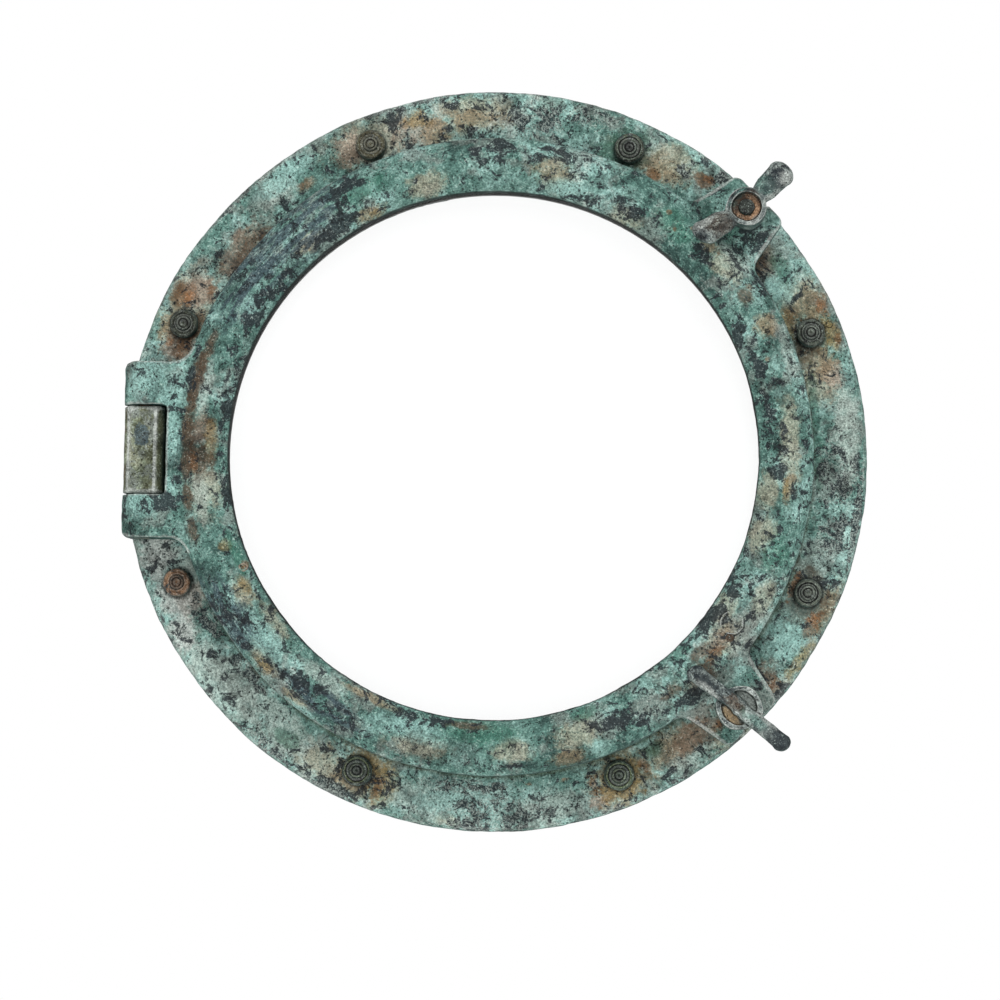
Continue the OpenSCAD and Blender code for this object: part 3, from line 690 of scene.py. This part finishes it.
def ring_material():
    """Teal crust with blue streaks round the window, and painted shade, near black, inside the bore."""
    g = Graph("ring_patina")
    patina = Patina(g, 400.0)
    strokes = g.noise(3.2, 8, 0.72, place=along_ring(g, 6.0))
    patina.ground(base_tones(RING_SHIFT))
    patina.tint(GREY_GREEN, TEAL)
    patina.crust()
    for name, (tone, strength, _) in RING_STAINS.items():
        patina.stain(name, tone, strength)
    blue = g.step(patina.field("streaks", 1.6), 0.7, 1.5, 1.0, 0.0)
    patina.lay(g.times(blue, g.step(strokes, 0.42, 0.54)), SLATE_BLUE, 0.90)
    crowd = g.step(patina.field("slate", 1.6), 0.6, 1.5, 1.0, 0.0)
    patina.slate(0.674, crowd)
    scars(g, patina, RING_SCARS)
    tone, rough, normal = coat(g, patina, 0.50, 0.52, 0.60)
    tone = g.mix(1.0, tone, RING_SHADE, "MULTIPLY")
    # Painted shade, near black, on the bore's wall
    tone = g.mix(g.step(from_axis(g), *CASTING_BORE_SHADE, 0.93, 0.0), tone, SOOT_AND_SHADE)
    return g.finish(tone, rough, normal=normal, Specular_IOR_Level=DULL)


def small_material(name, shift, tones, rough, dark=0.69, worn=0.5, spread=0.30, detail=None, scale=0.45):
    """Patina for a smaller piece, from its own list of tones."""
    g = Graph(name)
    patina = Patina(g, shift, scale)
    patina.ground(tones)
    patina.slate(dark)
    if detail:
        detail(g, patina)
    tone, _, normal = coat(g, patina, spread, worn)
    return g.finish(tone, rough, normal=normal, Specular_IOR_Level=DULL)


def glass_material():
    """Clear glass with faint smears, which the camera mostly sees through."""
    g = Graph("glass")
    smears = g.noise(60, 4, 0.6, 1.0)
    return g.finish((0.92, 0.96, 0.95, 1), g.step(smears, 0.4, 0.7, 0.02, 0.06), Alpha=0.06)


def rubber_material():
    """Black rubber, dusty and finely pitted."""
    g = Graph("rubber")
    dust = g.noise(3, 5, 0.6)
    tone = g.ramp(dust, [(0.3, (0.012, 0.012, 0.012)), (0.7, (0.05, 0.05, 0.047))])
    return g.finish(tone, 0.85, normal=g.bump(g.noise(0.8, 4, 0.6), 0.10))


def brass_material(name, shift, light, dull, shaded_bore=False):
    """Dull brass, with painted shade, near black, inside its bore if it has one."""
    g = Graph(name)
    cloud = g.noise(7, 7, 0.65, 0.4, shift=shift)
    fine = g.noise(0.9, 4, 0.7, shift=shift)
    tone = g.ramp(cloud, [(0.34, dull), (0.52, light), (0.66, (0.16, 0.24, 0.19))])
    tone = g.mix(1.0, tone, g.step(fine, 0.25, 0.75, 0.75, 1.2), "MULTIPLY")
    if shaded_bore:
        # Painted shade, near black, in the bore
        tone = g.mix(g.step(from_axis(g), *BRASS_BORE_SHADE, 0.97, 0.0), tone, SOOT_AND_SHADE)
    normal = g.bump(g.total((cloud, 1.0), (fine, 0.3)), 0.12)
    return g.finish(tone, g.step(cloud, 0.3, 0.7, 0.38, 0.70), 0.65, normal)


# ---------------------------------------------------------------- meshes


def add_object(name, mesh):
    """Puts a mesh in the scene."""
    piece = bpy.data.objects.new(name, mesh)
    bpy.context.scene.collection.objects.link(piece)
    return piece


def axis_of(node):
    """The middle of a node's box, seen from the front. A stud's or a pin's axis passes there."""
    low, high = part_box(node)
    return ((low[0] + high[0]) / 2, 0.0, (low[2] + high[2]) / 2)


def settle(piece, node, material):
    """Gives a finished piece its material and the body of the CAD node that it stands for, and hides that
    node.
    """
    piece.data.materials.clear()
    piece.data.materials.append(material)
    piece.data.polygons.foreach_set("use_smooth", [True] * len(piece.data.polygons))
    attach(piece, nodes[node]["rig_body"])
    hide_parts(node)


def welded_copy(node):
    """A copy of a CAD node's mesh with its faces joined."""
    mesh = nodes[node].data.copy()
    work = bmesh.new()
    work.from_mesh(mesh)
    bmesh.ops.remove_doubles(work, verts=work.verts, dist=1e-6)
    work.to_mesh(mesh)
    work.free()
    return mesh


def cast_mesh(node, face, passes):
    """A copy of a CAD node in even small faces, with its edges softened as in a sand casting."""
    piece = add_object(node + "_work", welded_copy(node))
    remesh = piece.modifiers.new("grain", "REMESH")
    remesh.mode = "VOXEL"
    remesh.voxel_size = face * MM
    soften = piece.modifiers.new("soften", "SMOOTH")
    soften.factor = 0.5
    soften.iterations = passes
    bpy.context.view_layer.update()
    finished = piece.evaluated_get(bpy.context.evaluated_depsgraph_get())
    mesh = bpy.data.meshes.new_from_object(finished)
    bpy.data.objects.remove(piece)
    return mesh


def push_out(mesh, lift):
    """Moves each vertex along its normal by its own lift, in millimetres."""
    normals = np.empty(len(mesh.vertices) * 3, np.float32)
    mesh.vertex_normals.foreach_get("vector", normals)
    places = vertex_places(mesh) + normals.reshape(-1, 3) * (lift * MM)[:, None]
    mesh.vertices.foreach_set("co", places.astype(np.float32).ravel())
    mesh.update()


def roughen(mesh, waves):
    """Makes a surface uneven. waves are (size, height) in millimetres."""
    lift = np.zeros(len(mesh.vertices))
    places = vertex_places(mesh)
    for size, height in waves:
        scale = 1 / (size * MM)
        lift += np.array([noise.noise(Vector(p) * scale) for p in places.tolist()]) * height
    push_out(mesh, lift)


def cast_piece(node, face, passes, waves, material, mark):
    """A rough cast piece in faces of one size in millimetres. mark(mesh) stains or reshapes it first."""
    mesh = cast_mesh(node, face, passes)
    store_edges(mesh)
    mark(mesh)
    roughen(mesh, waves)
    settle(add_object(node + "_cast", mesh), node, material)


def revolve(name, rows, count, centre, closed=False):
    """Turns rows round an axis along Y, in count steps.

    A row is (radius, height) in millimetres, or a function of the turn that gives them. A closed
    shape joins its last row to its first, and an open one gets a flat face at each end.
    """
    cx, cy, cz = centre
    verts = []
    for row in rows:
        for k in range(count):
            turn = math.tau * k / count
            radius, height = row(turn) if callable(row) else row
            verts.append((cx + radius * MM * math.cos(turn), cy - height * MM,
                          cz + radius * MM * math.sin(turn)))
    faces = []
    for i in range(len(rows) - (0 if closed else 1)):
        start = i * count
        above = (i + 1) % len(rows) * count
        for k in range(count):
            after = (k + 1) % count
            faces.append((start + k, start + after, above + after, above + k))
    if not closed:
        faces.append(tuple(range(count)))
        faces.append(tuple(range((len(rows) - 1) * count, len(rows) * count)))
    mesh = bpy.data.meshes.new(name)
    mesh.from_pydata(verts, [], faces)
    mesh.update()
    work = bmesh.new()
    work.from_mesh(mesh)
    bmesh.ops.recalc_face_normals(work, faces=work.faces)
    work.to_mesh(mesh)
    work.free()
    return mesh


def axis_distance(mesh, centre):
    """How far each vertex is from an axis along Y, in millimetres."""
    x, _, z = (vertex_places(mesh) / MM).T
    return np.hypot(x - centre[0] / MM, z - centre[2] / MM)


# ---------------------------------------------------------------- main castings

# Places in millimetres: the hinge's knuckle in X and half of it in Z, and depths in Y
HINGE_X = -163.0
KNUCKLE_HALF = 22.5
FLANGE_FACE = -10.0
FLANGE_BACK = -3.0
RING_BACK = -14.0
# The size of each casting's faces, and its unevenness as (size, height)
FLANGE_GRAIN = 1.56
FLANGE_WAVES = [(34, 0.45), (9, 0.24), (3.6, 0.20)]
RING_GRAIN = 1.21
RING_WAVES = [(30, 0.40), (8, 0.22), (3, 0.17)]
stud_nodes = [row["node"] for row in frame["record"]["subparts"] if row["node"].startswith("wall_stud")]


def mark_flange(mesh):
    """Keeps the flange's stains, the centre knuckle's X, and the distance to the nearest stud for the
    painted shadow round it.
    """
    groups = {name: spots for name, (_, _, spots) in FLANGE_STAINS.items()}
    store_spots(mesh, groups | {"slate": FLANGE_SLATE}, FLANGE_BACK)
    x, y, z = (vertex_places(mesh) / MM).T
    on_knuckle = (x < HINGE_X) & (abs(z) < KNUCKLE_HALF) & (y < FLANGE_FACE - 1.5)
    store(mesh, "knuckle", np.where(on_knuckle, x, -OFF * 10))
    nearest = np.full(len(x), OFF)
    for node in stud_nodes:
        nearest = np.minimum(nearest, axis_distance(mesh, axis_of(node)))
    store(mesh, "stud_shadow", np.where(y < FLANGE_BACK, nearest, OFF))


def mark_ring(mesh):
    """Keeps the ring's stains."""
    groups = {name: spots for name, (_, _, spots) in RING_STAINS.items()}
    store_spots(mesh, groups | {"slate": RING_SLATE, "streaks": RING_STREAKS}, RING_BACK)


def main_castings():
    """The frame that stays on the wall, and the one that opens."""
    cast_piece("base_frame", FLANGE_GRAIN, 1, FLANGE_WAVES, flange_material(), mark_flange)
    cast_piece("glass_frame", RING_GRAIN, 1, RING_WAVES, ring_material(), mark_ring)


# ---------------------------------------------------------------- studs and nuts

# Millimetres, and the steps of a turn
THREAD_PITCH = 1.25
THREAD_DEPTH = 0.60
THREAD_STEP = 0.30
ROD_SIDES = 26
NUT_SIDES = 60
NUT_BORE = 3.98


def thread_cut(height, turn):
    """How deep a thread is cut at one place of a rod, as one helix."""
    phase = (height / THREAD_PITCH + turn / math.tau) % 1.0
    return THREAD_DEPTH * (1 - abs(2 * phase - 1))


def threaded_rows(full, low, high):
    """Rows that climb a threaded rod of radius full."""
    count = max(2, round((high - low) / THREAD_STEP))
    heights = [low + (high - low) * i / count for i in range(count + 1)]
    return [lambda turn, h=h: (full - thread_cut(h, turn), h) for h in heights]


def stud_mesh(node):
    """A stud, threaded behind the flange and in front of it, with a ring worn into its end."""
    low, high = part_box(node)
    full = (high[0] - low[0]) / 2 / MM - 0.02
    back, top = -high[1] / MM, -low[1] / MM
    face = -FLANGE_FACE
    rows = [(full - 1.1, back + 0.02), *threaded_rows(full, back + 0.8, -0.6), (full - 0.45, 0.0),
            (full - 0.45, face), *threaded_rows(full, face + 0.8, top - 1.9),
            (full - 0.25, top - 1.3), (full - 0.75, top - 0.55), (full - 1.25, top - 0.42),
            (full - 1.55, top - 0.75), (full - 2.0, top - 0.70), (full - 2.3, top - 0.15),
            (full - 3.1, top - 0.05), (0.25, top - 0.30)]
    mesh = revolve(node + "_threaded", rows, ROD_SIDES, axis_of(node))
    store(mesh, "rim", axis_distance(mesh, axis_of(node)))
    return mesh


def nut_mesh(node, centre, hexed, ringed, seed):
    """A corroded nut: its corners are nearly gone, and its face is worn into rings.

    hexed says how much of its hexagon is left, and ringed how deep the rings are, both 0 to 1.
    """
    low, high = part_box(node)
    flat = (high[0] - low[0]) / 2 / MM
    foot, top = -high[1] / MM, -low[1] / MM
    lift = Vector((seed * 7.3, seed * 3.1, 0))

    def side(height, inset):
        def row(turn):
            corner = math.cos((turn + math.pi / 6) % (math.pi / 3) - math.pi / 6)
            radius = min(flat / corner, flat * 1.09) * hexed + flat * 1.04 * (1 - hexed)
            worn = noise.noise(Vector((math.cos(turn) * 2, math.sin(turn) * 2, height * 0.5)) + lift) * 0.35
            return radius - inset + worn - 0.15, height
        return row

    def face(radius, drop):
        def row(turn):
            worn = noise.noise(Vector((math.cos(turn), math.sin(turn), radius)) * 1.6 + lift) * 0.22
            return radius, top - drop + min(worn, drop * 0.8)
        return row

    groove = 0.30 + 0.65 * ringed
    rows = [side(foot, 0.0), side(foot + 1.5, 0.0), side(top - 2.2, 0.0), side(top - 1.2, 0.25),
            side(top - 0.6, 0.7), face(flat - 1.1, 0.25), face(flat - 1.5, 0.30), face(flat - 1.8, groove),
            face(flat - 2.15, groove), face(flat - 2.35, 0.30), (NUT_BORE, top - 0.30), (NUT_BORE, foot)]
    mesh = revolve(node + "_worn", rows, NUT_SIDES, centre, closed=True)
    roughen(mesh, [(2.2, 0.16), (0.9, 0.10)])
    store(mesh, "rim", axis_distance(mesh, centre))
    return mesh


# Tones of the nuts and stud ends, each with the noise level that it belongs to
PLAIN_NUT = [(0.42, SOOT_AND_SHADE), (0.49, (0.032, 0.036, 0.024)), (0.57, (0.060, 0.072, 0.050)),
             (0.67, (0.12, 0.16, 0.12))]
OLIVE_NUT = [(0.40, (0.030, 0.028, 0.016)), (0.47, (0.065, 0.060, 0.034)), (0.56, (0.11, 0.10, 0.06)),
             (0.66, (0.15, 0.15, 0.10))]
COPPER_NUT = [(0.40, (0.035, 0.020, 0.012)), (0.47, (0.12, 0.065, 0.035)), (0.55, (0.24, 0.14, 0.08)),
              (0.64, (0.36, 0.24, 0.14))]
GREEN_NUT = [(0.42, SOOT_AND_SHADE), (0.49, (0.028, 0.045, 0.030)), (0.57, (0.065, 0.095, 0.055)),
             (0.67, (0.17, 0.20, 0.09))]
GREY_NUT = [(0.42, SOOT_AND_SHADE), (0.49, (0.040, 0.048, 0.036)), (0.57, (0.080, 0.095, 0.072)),
            (0.67, (0.15, 0.18, 0.14))]
# Each nut's tones, how much of its hexagon is left and how deep the rings in its face are
NUTS = [(GREY_NUT, 0.25, 0.5), (PLAIN_NUT, 0.10, 1.0), (OLIVE_NUT, 0.10, 0.1), (PLAIN_NUT, 0.35, 0.2),
        (COPPER_NUT, 0.10, 0.0), (GREEN_NUT, 0.25, 0.8), (GREEN_NUT, 0.10, 0.9), (GREY_NUT, 0.05, 1.0)]
# Rings in the faces that get painted shade: (radius, half width)
NUT_GROOVES = [(5.1, 0.50)]
STUD_GROOVES = [(2.6, 0.35), (4.0, 0.35)]


def ring_grooves(grooves, pale, strength):
    """Painted shade in the rings of a nut's face, and a pale line beside each as a painted highlight."""
    def detail(g, patina):
        torn = g.total((patina.patches, 2.4), (patina.mottle, 1.6))
        rim = g.math("SUBTRACT", g.math("ADD", g.attribute("rim"), torn), 2.0)
        for radius, half in grooves:
            # Painted shade in each ring, and a painted highlight beside it
            patina.lay(ring_mask(g, rim, radius, half), SOOT_AND_SHADE, 0.30 + 0.55 * strength)
            patina.lay(ring_mask(g, rim, radius + 2 * half, half * 0.8), pale, 0.50 * strength)
    return detail


def fastener(node, mesh, shift, tones, grooves, ringed):
    """A finished nut or stud with a patina of its own."""
    store_edges(mesh)
    detail = ring_grooves(grooves, tones[-1][1], ringed)
    material = small_material(f"{node}_patina", shift, tones, 0.7, dark=0.70, worn=0.14, detail=detail)
    settle(add_object(mesh.name, mesh), node, material)


def studs_and_nuts():
    """Each stud with its nut, in the same tones."""
    for i, (stud, (tones, hexed, ringed)) in enumerate(zip(stud_nodes, NUTS)):
        nut = stud.replace("stud", "nut")
        mesh = nut_mesh(nut, axis_of(stud), hexed, ringed, i)
        fastener(nut, mesh, 700.0 + 37 * i, tones, NUT_GROOVES, ringed)
        fastener(stud, stud_mesh(stud), 600.0 + 31 * i, tones, STUD_GROOVES, ringed)


# ---------------------------------------------------------------- wing nuts and swing bolts

WING_TONES = [(0.40, SLATE), (0.46, (0.090, 0.110, 0.110)), (0.52, (0.200, 0.235, 0.220)),
              (0.60, (0.42, 0.46, 0.44))]
PIN_TONES = [(0.40, BROWN), (0.48, (0.16, 0.10, 0.06)), (0.56, TAN), (0.66, (0.17, 0.24, 0.20))]
BOLT_TONES = [(0.42, SOOT_AND_SHADE), (0.49, (0.03, 0.035, 0.03)), (0.57, (0.07, 0.085, 0.075)),
              (0.66, (0.14, 0.21, 0.18))]

# Millimetres, as for the castings
WING_GRAIN = 0.45
WING_WAVES = [(7, 0.30), (2.2, 0.16)]
BOLT_GRAIN = 0.30
BOLT_WAVES = [(3, 0.05)]
# A wing nut's edges get wear and a painted highlight from this distance from its bolt's axis outwards
HOLE_REACH = 5.7
# A bolt's thread begins this far above its pivot, and is cut from this radius outwards
THREAD_START = 14.0
ROD_SKIN = 3.5
# What lies this near to the height of a recess's floor is on it
FLOOR_BAND = 0.9

UPPER_STAINS = {
    "floor": (COPPER, 0.95, [(45, 178.5, 7.4, 7.4)]),
    # shine is a painted highlight on the recess's floor
    "shine": ((0.33, 0.20, 0.115), 0.85, [(44.2, 182.5, 4.0, 1.6), (43.3, 179, 1.5, 3.0)]),
    "brown": (BROWN, 0.55, [(45, 162, 5, 8), (45.5, 185, 3, 2)]),
    "teal": (TEAL, 0.70, [(45.4, 193, 6, 4), (46.9, 175, 2.0, 2.5), (47.3, 181, 1.5, 4)]),
    # socket is a painted shadow at the upper left of the recess's floor
    "socket": (SOOT_AND_SHADE, 0.92, [(46.2, 177.8, 5.2, 5.2)]),
    "slate": (SLATE, 0.85, [(44.7, 197, 4, 6), (45, 151, 4, 4)]),
    "chalk": (WORN_AND_HIGHLIGHT, 0.55, [(44.0, 203, 3, 4), (43.5, 190, 2, 5), (46.2, 156, 2, 6), (42.5, 176, 1.6, 5)]),
}
LOWER_STAINS = {
    "floor": (GREY_GREEN, 0.85, [(-45, 178.5, 8.8, 8.8)]),
    # shine is a painted highlight on the recess's floor
    "shine": ((0.36, 0.25, 0.13), 0.95, [(-47.2, 177.5, 4.0, 6.5)]),
    "brown": (BROWN, 0.80, [(-45, 176, 2.6, 7)]),
    "teal": (TEAL, 0.60, [(-45, 187, 3, 7)]),
    "slate": (SLATE, 0.92, [(-45, 206, 6, 9), (-45, 158, 3, 8)]),
    "chalk": (WORN_AND_HIGHLIGHT, 0.50, [(-46, 162, 1.8, 7), (-43.8, 192, 1.8, 7), (-46.5, 196, 1.5, 4)]),
}
# Each side's stains, radius and height of the recess, bends of the wings and shift of the noise
WING_SIDES = {
    "upper": (UPPER_STAINS, 7.9, 43.9, (0.30, -12.0, 0.0), 900.0),
    "lower": (LOWER_STAINS, 9.2, 39.9, (0.05, 8.0, 6.0), 940.0),
}


def wing_detail(stains):
    """Lays a wing nut's own stains, with the painted highlight and painted shadow listed among them."""
    def detail(g, patina):
        for name, (tone, strength, _) in stains.items():
            patina.stain(name, tone, strength)
    return detail


def blunt_hole(mesh, centre):
    """Keeps the bolt's hole free of worn edges and their painted highlight."""
    bend = np.empty(len(mesh.vertices), np.float32)
    mesh.attributes["edge"].data.foreach_get("value", bend)
    store(mesh, "edge", np.where(axis_distance(mesh, centre) < HOLE_REACH, np.minimum(bend, 0), bend))


def bend_wings(mesh, centre, share, inner_lean, outer_lean):
    """Makes a wing nut's wings broader and turns each by some degrees, as knocks have left them."""
    out = np.array((centre[0], centre[2])) / math.hypot(centre[0], centre[2])
    places = vertex_places(mesh)
    offset = places[:, (0, 2)] - np.array((centre[0], centre[2]))
    along = offset @ out
    across = offset @ np.array((-out[1], out[0]))
    lean = np.where(along < 0, inner_lean, outer_lean) * np.clip((abs(along) / MM - 4) / 6, 0, 1)
    grow = share * np.clip((abs(along) / MM - 8) / 6, 0, 1) * across + along * np.tan(np.radians(lean))
    places[:, 0] -= grow * out[1]
    places[:, 2] += grow * out[0]
    mesh.vertices.foreach_set("co", places.ravel())
    mesh.update()


def wing_marks(centre, stains, recess, floor, bends):
    """Stains of a wing nut. The floor and its shine, a painted highlight, lie only at the bottom of the
    recess in its face.
    """
    def mark(mesh):
        store_spots(mesh, {name: spots for name, (_, _, spots) in stains.items()}, 0.0)
        x, y, z = (vertex_places(mesh) / MM).T
        low_down = (abs(-y - floor) < FLOOR_BAND) & (axis_distance(mesh, centre) < recess)
        for name, widened in (("floor", 0.3), ("shine", 1.0)):
            field = spot_field(x, z, stains[name][2]) * widened
            store(mesh, name, np.where(low_down, field, FAR))
        blunt_hole(mesh, centre)
        bend_wings(mesh, centre, *bends)
    return mark


def wing_nuts():
    """The two wing nuts, which differ in size, stains and bends."""
    for side, (stains, recess, floor, bends, shift) in WING_SIDES.items():
        material = small_material(side + "_wing_patina", shift, WING_TONES, 0.75, dark=0.665, worn=0.62,
                                  detail=wing_detail(stains), scale=0.75)
        mark = wing_marks(axis_of(side + "_pivot_pin"), stains, recess, floor, bends)
        cast_piece(side + "_wing_nut", WING_GRAIN, 2, WING_WAVES, material, mark)


def cut_thread(centre, eye):
    """Cuts a swing bolt's thread into the rod above its eye."""
    def mark(mesh):
        x, y, z = vertex_places(mesh).T
        turn = np.arctan2(z - centre[2], x - centre[0])
        height = -y / MM
        on_rod = (height > eye + THREAD_START) & (axis_distance(mesh, centre) > ROD_SKIN)
        push_out(mesh, np.where(on_rod, -thread_cut(height, turn), 0.0))
    return mark


def swing_bolts():
    """The two swing bolts, with their threads."""
    bolt = small_material("bolt_patina", 520.0, BOLT_TONES, 0.6, dark=0.70, worn=0.05, spread=0.2)
    for side in ("upper", "lower"):
        pin = side + "_pivot_pin"
        low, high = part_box(pin)
        mark = cut_thread(axis_of(pin), -(low[1] + high[1]) / 2 / MM)
        cast_piece(side + "_swing_bolt", BOLT_GRAIN, 1, BOLT_WAVES, bolt, mark)


# The light and the dull tone of each brass
RING_BRASS = ((0.30, 0.22, 0.11), (0.10, 0.07, 0.04))
SCREW_BRASS = ((0.50, 0.38, 0.18), (0.20, 0.14, 0.07))


def plain_pieces():
    """The pieces whose CAD shape stays, and which only get a material."""
    plain = {
        "pin_bronze": small_material("pin_patina", 500.0, PIN_TONES, 0.6, dark=0.76),
        "ring_brass": brass_material("ring_brass_patina", 20.0, *RING_BRASS, shaded_bore=True),
        "screw_brass": brass_material("screw_brass_patina", 40.0, *SCREW_BRASS),
        "seal_rubber": rubber_material(),
        "clear_glass": glass_material(),
    }
    for row in frame["record"]["subparts"]:
        node = nodes[row["node"]]
        if not node.hide_render and row["material_slot"] in plain:
            node.data.materials.clear()
            node.data.materials.append(plain[row["material_slot"]])


bpy.context.scene.view_settings.view_transform = "Standard"
add_camera()
add_world()
for name, lamp in LAMPS.items():
    add_lamp(name, *lamp)
add_floor()
main_castings()
studs_and_nuts()
wing_nuts()
swing_bolts()
plain_pieces()
